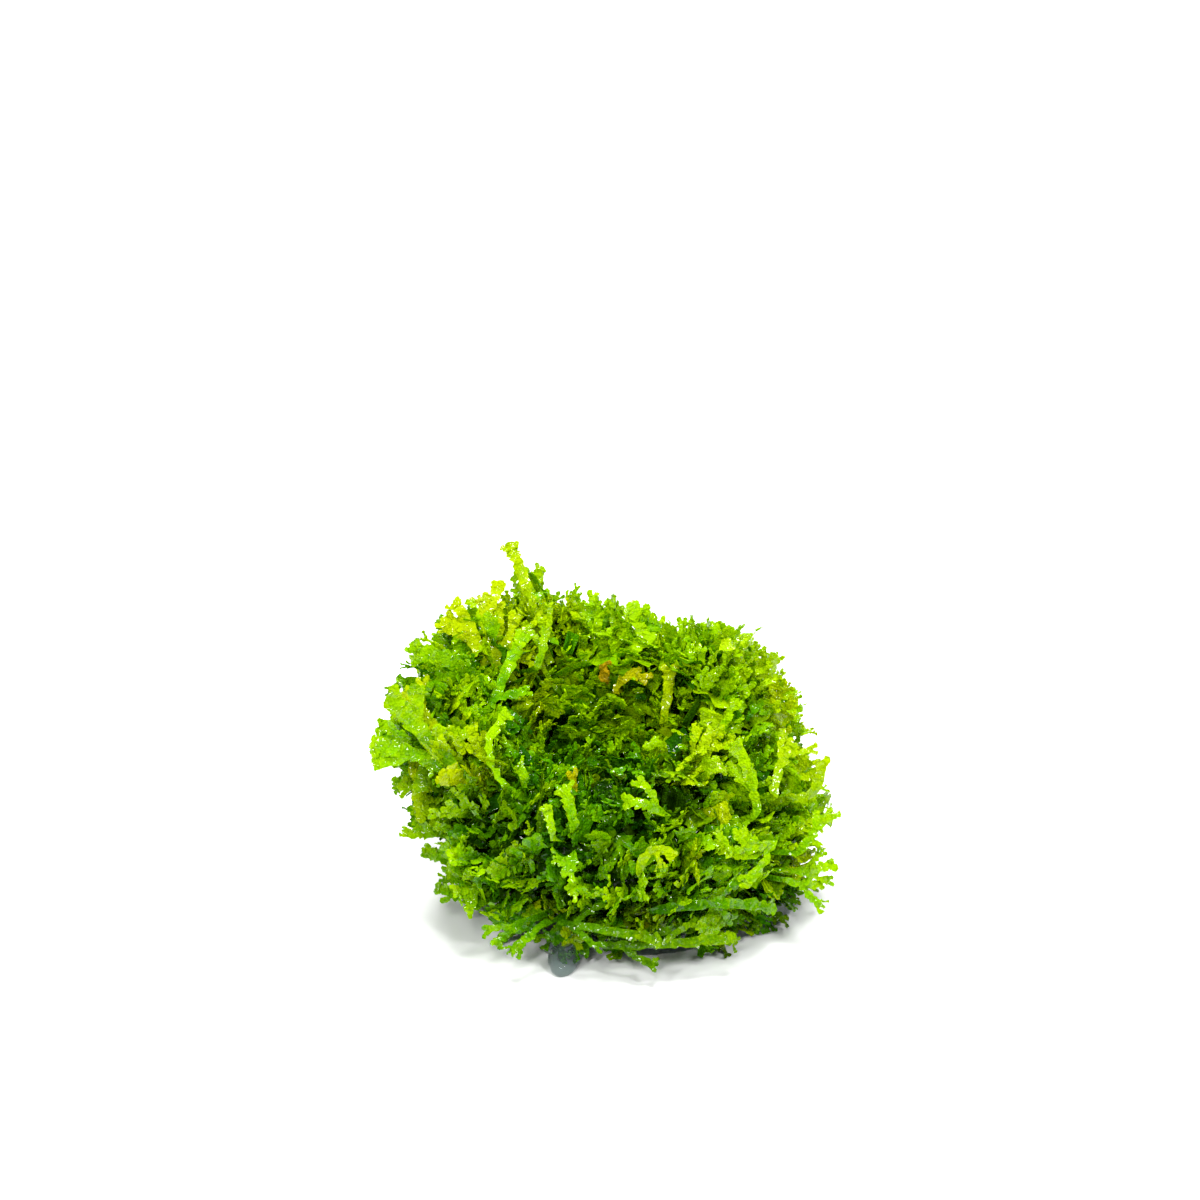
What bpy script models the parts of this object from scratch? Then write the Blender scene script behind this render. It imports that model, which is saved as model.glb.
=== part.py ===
# Riccardia moss: a clump of ribbon-like liverwort fronds on a foot of clear culture gel.
# Metres, +Z up, front towards -Y, origin in the middle of the gel's flat underside.

import math
import random

import bmesh
import bpy
from mathutils import Matrix, Vector

COLLECTION_NAME = "riccardia_moss"
CUTTER_COLLECTION_NAME = "riccardia_moss_cutters"
GAP = 0.0003
SEED = 41
SHARP_FROM = math.radians(50)

# The foot of culture gel: a low pad with a rounded rim and one tongue that ran out at the front left.
GEL_RADIUS = 0.0121
GEL_HEIGHT = 0.0028
GEL_SEGMENTS = 44
GEL_RIM_ROUND = 0.0010
GEL_RIM_STEPS = 3
GEL_WAVES = ((2, 0.05, 0.6), (3, 0.035, 2.1), (5, 0.02, 4.0))
TONGUE_CENTRE = (-0.0100, -0.0113, 0.0004)
TONGUE_HALF_SIZE = (0.0016, 0.0050, 0.0019)
TONGUE_TURN = math.radians(-6)
TONGUE_SEGMENTS = (20, 12)
FLOOR_SLAB = (0.080, 0.080, 0.010)

# The fringe of old strap fronds that lies on the gel, under the tufts.
FRINGE_THICKNESS = 0.0010
FRINGE_RADIUS = 0.0092
FRINGE_SIDES = 60
# Along each strap: share of its length, and its width beside the width at its base.
STRAP_STEPS = ((0.35, 1.35), (0.70, 0.85), (0.90, 1.30), (1.00, 0.70))
STRAP_SWERVE = 0.0011
STRAP_DROOP_FROM = 0.0134
STRAP_DROOP = 0.16
STRAP_THINNING = 0.20
STRAP_SHORTEST = 0.80

# Where the straps end: azimuth in degrees, distance from the middle. STRAP_BLEND is in degrees too.
STRAP_BLEND = 7.0
STRAP_REACH = (
    (0, 0.0134), (-35, 0.0134), (-65, 0.0154), (-90, 0.0160), (-112, 0.0176), (-131, 0.0212),
    (-139, 0.0222), (-150, 0.0204), (-160, 0.0180), (180, 0.0165), (135, 0.0160), (90, 0.0160), (45, 0.0145),
)

# The tufts grow out of one root, just above the fringe.
ROOT = Vector((-0.0040, 0.0, GEL_HEIGHT + GAP + FRINGE_THICKNESS + GAP / 2))
TUFT_START = 0.0030
TUFT_SHIFT = 0.00045
CROWN_LEAN = 0.22
CELL_SHARPNESS = 10
REACH_SHARPNESS = 110
CAP_SHARE = math.radians(118)
LOBE_DEPTH = (0.0030, 0.0046)
LOBE_SPREAD = (-0.0011, 0.0004)
LOBE_TILT = 0.0005
WALL_END = 0.82
KEEP_FACES = 0.84
TUFT_DETAIL = 4
HEART_DETAIL = 3

# Each tuft's middle, as azimuth and elevation in degrees seen from the root, and the elevation
# that its lowest fronds keep to.
TUFTS = {
    "back_left_crest": (134, 36, 3),
    "back_crest": (92, 33, 2),
    "back_right_crest": (42, 33, 3),
    "right_tuft": (-16, 29, 4),
    "front_tuft": (-80, 29, 0),
    "front_left_tuft": (-130, 28, 0),
    "left_tuft": (-178, 32, 5),
}

# The short growth in the crown's open middle, and the slope that the tufts around it make.
HEART = (192, 78)
HEART_REACH = 0.0112
HEART_LOBE_DEPTH = (0.0012, 0.0022)
FUNNEL_FOOT = 0.0130
FUNNEL_FROM = math.radians(19)
FUNNEL_TO = math.radians(38)

# Points that the frond tips come to, round the clump: crown, flanks, front, then back.
TIPS = (
    (-0.0290, 0.0000, 0.0215), (-0.0262, 0.0080, 0.0242), (-0.0220, 0.0140, 0.0254),
    (-0.0192, 0.0170, 0.0262), (-0.0143, 0.0170, 0.0266),
    (-0.0105, 0.0180, 0.0257), (-0.0072, 0.0180, 0.0257), (-0.0033, 0.0180, 0.0244),
    (-0.0007, 0.0170, 0.0218), (0.0013, 0.0165, 0.0186), (0.0045, 0.0160, 0.0202),
    (0.0077, 0.0160, 0.0227), (0.0109, 0.0135, 0.0205), (0.0140, 0.0105, 0.0182),
    (0.0130, 0.0040, 0.0161), (0.0151, 0.0020, 0.0139), (0.0145, -0.0040, 0.0096),
    (0.0166, -0.0060, 0.0075), (0.0144, -0.0080, 0.0055), (-0.0280, -0.0010, 0.0186),
    (-0.0268, -0.0030, 0.0164), (-0.0247, -0.0040, 0.0149), (-0.0234, -0.0060, 0.0124),
    (-0.0240, -0.0090, 0.0102), (-0.0218, -0.0110, 0.0058), (0.0110, -0.0110, 0.0055),
    (0.0052, -0.0150, 0.0130), (0.0032, -0.0115, 0.0155), (-0.0008, -0.0180, 0.0115),
    (-0.0068, -0.0125, 0.0152), (-0.0168, -0.0130, 0.0150), (-0.0168, -0.0105, 0.0160),
    (-0.0218, -0.0072, 0.0185), (-0.0040, -0.0165, 0.0045), (-0.0140, -0.0140, 0.0060),
    (0.0050, -0.0140, 0.0050), (-0.0240, 0.0000, 0.0070), (-0.0260, 0.0100, 0.0140),
    (-0.0200, 0.0185, 0.0130), (-0.0080, 0.0210, 0.0130), (0.0060, 0.0200, 0.0110),
    (0.0150, 0.0130, 0.0090), (0.0130, 0.0060, 0.0060), (-0.0120, 0.0160, 0.0060),
    (0.0020, 0.0170, 0.0060), (-0.0190, 0.0140, 0.0055), (0.0100, 0.0140, 0.0055),
    (-0.0183, -0.0140, 0.0046),
)
# The one frond that stands up well above the rest of the crown, at the back left.
TALL_TIP = Vector((-0.0172, 0.0203, 0.0314))
TALL_SHARPNESS = 700

# Colours as linear values: young growth is lime, old growth dark green, the gel clear and greyish.
LIME = (0.35, 0.62, 0.01)
MID_GREEN = (0.18, 0.42, 0.01)
YELLOW_GREEN = (0.48, 0.60, 0.02)
OLD_GREEN = (0.05, 0.15, 0.01)
OLIVE = (0.10, 0.13, 0.01)
GEL_GREY = (0.62, 0.70, 0.70)
MOSS_ROUGHNESS = 0.35
GEL_ROUGHNESS = 0.05


def clear_scene():
    for item in list(bpy.data.objects):
        bpy.data.objects.remove(item, do_unlink=True)


def new_collection(name):
    collection = bpy.data.collections.new(name)
    bpy.context.scene.collection.children.link(collection)
    return collection


def coloured(name, colour, roughness):
    material = bpy.data.materials.new(name)
    material.use_nodes = True
    shader = material.node_tree.nodes["Principled BSDF"]
    shader.inputs["Base Color"].default_value = (*colour, 1.0)
    shader.inputs["Roughness"].default_value = roughness
    shader.inputs["Metallic"].default_value = 0.0
    return material


def gel_material():
    material = coloured("clear_gel", GEL_GREY, GEL_ROUGHNESS)
    shader = material.node_tree.nodes["Principled BSDF"]
    shader.inputs["Transmission Weight"].default_value = 1.0
    shader.inputs["IOR"].default_value = 1.34
    return material


def add_object(name, bm, material, collection):
    mesh = bpy.data.meshes.new(name)
    bm.to_mesh(mesh)
    bm.free()
    mesh.materials.append(material)
    mesh.shade_smooth()
    mesh.set_sharp_from_angle(angle=SHARP_FROM)
    item = bpy.data.objects.new(name, mesh)
    collection.objects.link(item)
    return item


def as_cutter(item):
    item.hide_render = True
    item.display_type = "WIRE"
    return item


def towards(azimuth, elevation):
    turn = math.radians(azimuth)
    lift = math.radians(elevation)
    return Vector((
        math.cos(lift) * math.cos(turn),
        math.cos(lift) * math.sin(turn),
        math.sin(lift),
    ))


def gel_edge(azimuth):
    """Distance of the pad's rim from its middle, a little uneven all round."""
    waves = sum(size * math.sin(count * azimuth + start) for count, size, start in GEL_WAVES)
    return GEL_RADIUS * (1.0 + waves)


def gel_tongue(cutters, material):
    """A long drop, half sunk under the gel's underside."""
    bm = bmesh.new()
    around, along = TONGUE_SEGMENTS
    bmesh.ops.create_uvsphere(bm, u_segments=around, v_segments=along, radius=1.0)
    place = (
        Matrix.Translation(TONGUE_CENTRE)
        @ Matrix.Rotation(TONGUE_TURN, 4, "Z")
        @ Matrix.Diagonal((*TONGUE_HALF_SIZE, 1.0))
    )
    bmesh.ops.transform(bm, matrix=place, verts=bm.verts)
    return as_cutter(add_object("gel_tongue_form", bm, material, cutters))


def floor_cutter(cutters, material):
    """A slab under the gel, which trims it flat."""
    bm = bmesh.new()
    bmesh.ops.create_cube(bm, size=1.0)
    place = Matrix.Translation((0.0, 0.0, -FLOOR_SLAB[2] / 2)) @ Matrix.Diagonal((*FLOOR_SLAB, 1.0))
    bmesh.ops.transform(bm, matrix=place, verts=bm.verts)
    return as_cutter(add_object("floor_form", bm, material, cutters))


def add_boolean(item, tool, operation):
    cut = item.modifiers.new(operation.lower(), "BOOLEAN")
    cut.object = tool
    cut.operation = operation
    cut.solver = "EXACT"


def culture_gel(parts, cutters):
    """The pad, its rounded rim, and the tongue fused to it, all flat underneath."""
    material = gel_material()
    bm = bmesh.new()
    bmesh.ops.create_cone(
        bm, cap_ends=True, segments=GEL_SEGMENTS, radius1=1.0, radius2=1.0, depth=GEL_HEIGHT
    )
    for corner in bm.verts:
        azimuth = math.atan2(corner.co.y, corner.co.x)
        corner.co.x = gel_edge(azimuth) * math.cos(azimuth)
        corner.co.y = gel_edge(azimuth) * math.sin(azimuth)
        corner.co.z += GEL_HEIGHT / 2
    top_rim = [edge for edge in bm.edges if all(v.co.z > GEL_HEIGHT / 2 for v in edge.verts)]
    bmesh.ops.bevel(
        bm, geom=top_rim, offset=GEL_RIM_ROUND, segments=GEL_RIM_STEPS, profile=0.5, affect="EDGES"
    )
    gel = add_object("culture_gel", bm, material, parts)
    add_boolean(gel, gel_tongue(cutters, material), "UNION")
    add_boolean(gel, floor_cutter(cutters, material), "DIFFERENCE")


def strap_reach(azimuth):
    """How far the straps go at an azimuth in degrees, between the listed ends."""
    weights = [
        math.exp(-(((azimuth - at + 180) % 360 - 180) / STRAP_BLEND) ** 2) for at, _ in STRAP_REACH
    ]
    lengths = [length for _, length in STRAP_REACH]
    return sum(w * length for w, length in zip(weights, lengths)) / sum(weights)


def azimuth_of(face):
    middle = face.calc_center_median()
    return math.atan2(middle.y, middle.x)


def grow_strap(bm, face, draw):
    """One strap frond: a face of the mat's side, drawn out and narrowed and widened in steps."""
    middle = face.calc_center_median()
    azimuth = azimuth_of(face)
    out = Vector((math.cos(azimuth), math.sin(azimuth), 0.0))
    across = Vector((-out.y, out.x, 0.0))
    start = middle.xy.length
    half_width = max(abs((v.co - middle).dot(across)) for v in face.verts)
    length = (strap_reach(math.degrees(azimuth)) - start) * draw.uniform(STRAP_SHORTEST, 1.0)
    swerve = draw.uniform(-STRAP_SWERVE, STRAP_SWERVE)
    half_height = FRINGE_THICKNESS / 2
    for share, width in STRAP_STEPS:
        grown = bmesh.ops.extrude_discrete_faces(bm, faces=[face])["faces"][0]
        distance = start + length * share
        droop = STRAP_DROOP * max(0.0, distance - STRAP_DROOP_FROM)
        centre = out * distance + across * swerve * share * share
        thickness = half_height * (1.0 - STRAP_THINNING * share)
        for v in grown.verts:
            side = math.copysign(half_width * width, (v.co - middle).dot(across))
            level = math.copysign(thickness, v.co.z - middle.z)
            v.co = centre + across * side
            v.co.z = middle.z + level - droop
        middle = grown.calc_center_median()
        face = grown


def foot_fringe(parts):
    """A thin mat of old growth on the gel, with strap fronds lying out from it all round."""
    draw = random.Random(SEED)
    bm = bmesh.new()
    bmesh.ops.create_cone(
        bm, cap_ends=True, segments=FRINGE_SIDES,
        radius1=FRINGE_RADIUS, radius2=FRINGE_RADIUS, depth=FRINGE_THICKNESS,
    )
    lift = GEL_HEIGHT + GAP + FRINGE_THICKNESS / 2
    bmesh.ops.translate(bm, vec=(0.0, 0.0, lift), verts=bm.verts)
    bm.faces.ensure_lookup_table()
    sides = [face for face in bm.faces if abs(face.normal.z) < 0.5]
    sides.sort(key=azimuth_of)
    for face in sides[::2]:
        grow_strap(bm, face, draw)
    add_object("foot_fringe", bm, coloured("old_strap_fronds", OLD_GREEN, MOSS_ROUGHNESS), parts)


def tip_reach(direction):
    """Distance from the root to the frond tips in a direction, blended from the nearest tips, with the
    tall one on its own."""
    total = 0.0
    weight_sum = 0.0
    for tip in TIPS:
        way = Vector(tip) - ROOT
        weight = math.exp(REACH_SHARPNESS * (direction.dot(way.normalized()) - 1.0))
        total += weight * way.length
        weight_sum += weight
    far = total / weight_sum
    tall = TALL_TIP - ROOT
    return far + (tall.length - far) * math.exp(TALL_SHARPNESS * (direction.dot(tall.normalized()) - 1.0))


def tuft_reach(direction):
    """As tip_reach, but sloping down to the heart of the crown."""
    rise = (direction.angle(towards(*HEART)) - FUNNEL_FROM) / (FUNNEL_TO - FUNNEL_FROM)
    rise = max(0.0, min(1.0, rise))
    rise = rise * rise * (3.0 - 2.0 * rise)
    far = tip_reach(direction)
    return FUNNEL_FOOT + (max(far, FUNNEL_FOOT) - FUNNEL_FOOT) * rise


def cell_width(axis, around, middle, neighbours):
    """Angle from the axis to where the next tuft begins, on the side that around points to."""
    total = 0.0
    for other in neighbours:
        away = middle - other
        if around.dot(away) < 0.0:
            bound = math.atan2(axis.dot(away), -around.dot(away))
            total += bound ** -CELL_SHARPNESS
    return total ** (-1.0 / CELL_SHARPNESS)


def polar_angle(v):
    return math.acos(max(-1.0, min(1.0, v.co.normalized().z)))


def pick_lobes(bm, draw):
    """The blunt frond ends: faces and edges picked at random on the outer side, none touching another.
    Gives how far each of their corners stands past or short of the frond tips."""
    spans = list(bm.edges) + list(bm.faces)
    ends = [span for span in spans if max(map(polar_angle, span.verts)) < CAP_SHARE]
    draw.shuffle(ends)
    lobes = {}
    taken = set()
    for end in ends:
        if any(v in taken for v in end.verts):
            continue
        height = draw.uniform(*LOBE_SPREAD)
        for v in end.verts:
            lobes[v] = height + draw.uniform(-LOBE_TILT, LOBE_TILT)
            taken.add(v)
            taken.update(joined.other_vert(v) for joined in v.link_edges)
    return lobes


def grow_tuft(name, middle, neighbours, reach, lobe_depth, detail, material, parts):
    """A wedge of the clump: its outer side is broken into blunt lobes, its sides meet the next tufts."""
    draw = random.Random(f"{SEED} {name}")
    axis = (middle + towards(*HEART) * CROWN_LEAN).normalized()
    around_x = axis.orthogonal().normalized()
    around_y = axis.cross(around_x)
    bm = bmesh.new()
    bmesh.ops.create_icosphere(bm, subdivisions=detail, radius=1.0)
    bmesh.ops.rotate(
        bm, cent=(0, 0, 0), matrix=Matrix.Rotation(draw.uniform(0, math.pi), 3, "X"), verts=bm.verts
    )
    lobes = pick_lobes(bm, draw)
    for v in bm.verts:
        polar = polar_angle(v)
        turn = math.atan2(v.co.y, v.co.x)
        around = around_x * math.cos(turn) + around_y * math.sin(turn)
        width = cell_width(axis, around, middle, neighbours)
        if polar < CAP_SHARE:
            angle = width * polar / CAP_SHARE
            share = 1.0
        else:
            down = (polar - CAP_SHARE) / (math.pi - CAP_SHARE)
            angle = width * min(1.0, (1.0 - down) / (1.0 - WALL_END))
            share = max(0.0, 1.0 - down / WALL_END)
        direction = axis * math.cos(angle) + around * math.sin(angle)
        valley = -draw.uniform(*lobe_depth)
        far = reach(direction) + lobes.get(v, valley)
        v.co = ROOT + axis * TUFT_SHIFT + direction * (TUFT_START + (far - TUFT_START) * share)
    tuft = add_object(name, bm, material, parts)
    if detail == TUFT_DETAIL:
        thin = tuft.modifiers.new("thin", "DECIMATE")
        thin.ratio = KEEP_FACES


def moss_tufts(parts):
    colours = {
        "back_left_crest": YELLOW_GREEN,
        "back_crest": LIME,
        "back_right_crest": LIME,
        "right_tuft": LIME,
        "front_tuft": MID_GREEN,
        "front_left_tuft": MID_GREEN,
        "left_tuft": LIME,
    }
    middles = {name: towards(turn, lift) for name, (turn, lift, _) in TUFTS.items()}
    heart = towards(*HEART)
    for name, (turn, lift, lowest) in TUFTS.items():
        below = towards(turn, 2 * lowest - lift)
        others = [other for key, other in middles.items() if key != name]
        material = coloured(name + "_fronds", colours[name], MOSS_ROUGHNESS)
        grow_tuft(
            name, middles[name], others + [heart, below], tuft_reach, LOBE_DEPTH,
            TUFT_DETAIL, material, parts,
        )
    material = coloured("heart_growth_fronds", OLIVE, MOSS_ROUGHNESS)
    grow_tuft(
        "heart_growth", heart, list(middles.values()), lambda direction: HEART_REACH,
        HEART_LOBE_DEPTH, HEART_DETAIL, material, parts,
    )


def build():
    clear_scene()
    parts = new_collection(COLLECTION_NAME)
    cutters = new_collection(CUTTER_COLLECTION_NAME)
    culture_gel(parts, cutters)
    foot_fringe(parts)
    moss_tufts(parts)


build()
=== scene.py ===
# Riccardia moss on a foot of clear culture gel: the looks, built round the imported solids.
# Frond sizes and places are in millimetres, and are turned to metres when a mesh is made.

import math

import bpy
import numpy as np
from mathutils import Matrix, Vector


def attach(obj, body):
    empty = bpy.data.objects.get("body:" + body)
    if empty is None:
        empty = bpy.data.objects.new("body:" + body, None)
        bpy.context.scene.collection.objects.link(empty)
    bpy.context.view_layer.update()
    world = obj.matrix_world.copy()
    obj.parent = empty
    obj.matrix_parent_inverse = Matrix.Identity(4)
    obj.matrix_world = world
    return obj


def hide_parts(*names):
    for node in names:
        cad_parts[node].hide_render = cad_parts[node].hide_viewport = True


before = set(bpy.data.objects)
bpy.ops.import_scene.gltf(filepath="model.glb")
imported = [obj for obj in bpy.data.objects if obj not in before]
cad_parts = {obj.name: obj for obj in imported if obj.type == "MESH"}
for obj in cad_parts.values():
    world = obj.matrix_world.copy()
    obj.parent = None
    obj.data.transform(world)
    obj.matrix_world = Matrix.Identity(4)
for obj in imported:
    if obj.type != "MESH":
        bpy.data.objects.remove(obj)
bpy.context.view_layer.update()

MM = 0.001
SEED = 7
UP = np.array((0.0, 0.0, 1.0))

# The tufts grow out of one root, in the middle of the foot, just above the lowest fronds.
ROOT = np.array((-4.0, 0.0, 4.25))
# The clump is open at its heart: the way up through the hollow, how wide it is, how it widens upward, and how high
# above the root its slopes begin.
HEART_WAY = np.array((-0.203, -0.043, 0.978))
HOLLOW_RADIUS = 9.0
HOLLOW_SLOPE = 0.92
HOLLOW_FLOOR = 7.0

# Fronds that come down to the floor bend along it within this height, and the tufts' fronds start no lower than
# the gel's top.
FLOOR_CLEAR = 0.5
LOWEST_START = 4.8
# The wet gel lies flat on the floor, with no air between them: its underside up to here, and the floor's top.
FLAT_UNDER = 0.12
FLOOR_TOP = 0.02
# The size of the gel's facets, and what rounding its edges takes off it all round, which is put back.
GEL_FACET = 0.34
SOFT_LOSS = 0.20

# A frond: the usual width of a riccardia thallus, and how thick it is in the middle. Some are broad blades.
FROND_WIDTH = 0.84
FROND_HALF_THICKNESS = 0.12
BROAD_SHARE = 0.42
BROAD_WIDTH = (1.20, 2.00)
OLD_BLADE_WIDTH = (1.8, 2.7)
# Its margins: teeth, lobes (how far apart, and how far their tips point forward), and how much it widens outward.
TEETH = 0.055
LOBE_PITCH = (0.55, 1.15)
LOBE_SWEEP = 0.55
FLARE = (0.72, 0.36)
# How it is bent: the crinkle and the waves of its margins, its twist, and the angles of its forks and branches.
CRINKLE = 0.05
RUFFLE = (0.08, 0.34)
TWIST = 0.9
FORK_SPREAD = (0.25, 0.60)
BRANCH_SPREAD = (0.45, 0.95)
# Space between a ribbon's rings: first along its inner part, then over the last stretch, which shows.
FROND_STEPS = (0.50, 0.16)
BRANCH_STEPS = (0.50, 0.21)
STEM_STEPS = (2.0, 2.0)
OLD_BLADE_STEPS = (0.6, 0.45)
SHOWN_LENGTH = 2.0

# How close together frond tips come, and how deep the older fronds lie under them, where the clump is deep enough.
TIP_SPACING = 1.20
SLOPE_SPACING = 1.10
BEHIND_SPACING = 1.28
UNDER_SPACING = 1.75
UNDER_DEPTH = (1.3, 3.4)
DEEP = (3.6, 6.0)
DEEP_FROM = 12.0
# The foot's straps: how many, and the least distance that one comes out from the middle.
STRAPS = 250
SHORTEST_STRAP = 12.9
# Places tried on each tuft's solid, and how far under the solid's reach they may lie: in the tufts and in the heart.
TRIED = 5200
TRIED_DEPTH = 5.5
TRIED_DEPTH_HEART = 3.5
# How closely a solid's reach follows its single lobes, and how far it goes by the longest of them.
TUFT_FOCUS, TUFT_POWER = 210.0, 14
FRINGE_FOCUS, FRINGE_POWER = 260.0, 16
# How much older and darker a frond looks for each millimetre under the tips: old growth, and painted shade deep in
# the clump.
AGE_AND_SHADE_BY_DEPTH = 0.105

# How far out the outer fronds come, as shares of the solid's reach, where HABITS doesn't say it.
USUAL_TIPS = (0.92, 1.07)

# How each tuft's fronds grow: how far they lean from the straight way out, how strongly they turn up, how old they
# look, which also paints shade on the front tufts and the heart and light on the crests, and how yellow.
HABITS = {
    "back_left_crest": dict(lean=(0.05, 0.75), rise=0.9, age_and_shade=-0.10, yellow=0.16),
    "back_crest": dict(lean=(0.05, 0.70), rise=0.9, age_and_shade=-0.18, yellow=0.12),
    "back_right_crest": dict(lean=(0.05, 0.80), rise=0.8, age_and_shade=-0.13, yellow=0.08),
    "right_tuft": dict(lean=(0.15, 1.05), rise=0.6, age_and_shade=-0.05, yellow=0.12),
    "front_tuft": dict(lean=(0.35, 1.30), rise=0.4, age_and_shade=0.15, yellow=0.05),
    "front_left_tuft": dict(lean=(0.35, 1.30), rise=0.4, age_and_shade=0.17, yellow=0.05),
    "left_tuft": dict(lean=(0.10, 0.80), rise=0.4, age_and_shade=0.04, yellow=0.08),
    "heart_growth": dict(lean=(0.30, 1.30), rise=0.2, age_and_shade=0.22, yellow=0.12, tips=(0.96, 1.22)),
}

# Painted light and shade, with some true differences of colour, where the photograph shows fronds unlike the rest of
# their tuft: the middle of the place, its size, how much darker they are drawn (below nothing, lighter), and how
# much yellower.
PAINTED_LIGHT_AND_SHADE = (
    ((-11.0, 7.0, 23.5), 4.5, -0.54, -0.15),
    ((-5.0, 6.0, 20.0), 6.0, -0.46, -0.25),
    ((2.0, 6.0, 21.0), 5.0, -0.34, -0.10),
    ((-22.0, 0.0, 17.0), 6.0, 0.12, -0.06),
    ((-5.0, -2.0, 12.5), 6.0, 0.18, -0.10),
    ((-10.5, 2.0, 14.0), 4.5, 0.26, -0.05),
    ((-4.0, -10.0, 15.0), 6.0, 0.24, 0.0),
    ((7.0, 8.0, 19.0), 5.0, -0.26, -0.05),
    ((-17.0, -8.0, 11.0), 4.5, -0.12, 0.0),
    ((-20.0, -7.0, 5.0), 5.0, 0.08, 0.0),
)


def unit(v):
    """Vectors at a length of one."""
    return v / np.maximum(np.linalg.norm(v, axis=-1, keepdims=True), 1e-9)


def sway(seed, size):
    """A smooth random vector field: where it is called, what grows close by leans alike."""
    rng = np.random.default_rng(seed)
    ways = rng.normal(size=(10, 3)) / size
    starts = rng.uniform(0, 2 * math.pi, 10)
    pushes = rng.normal(size=(10, 3)) * 0.45

    def at(point):
        return np.sin(np.atleast_2d(point) @ ways.T * 2.2 + starts) @ pushes

    return at


LEAN_FIELD = sway(3, 7.0)
AGE_FIELD = sway(5, 5.0)


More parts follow.
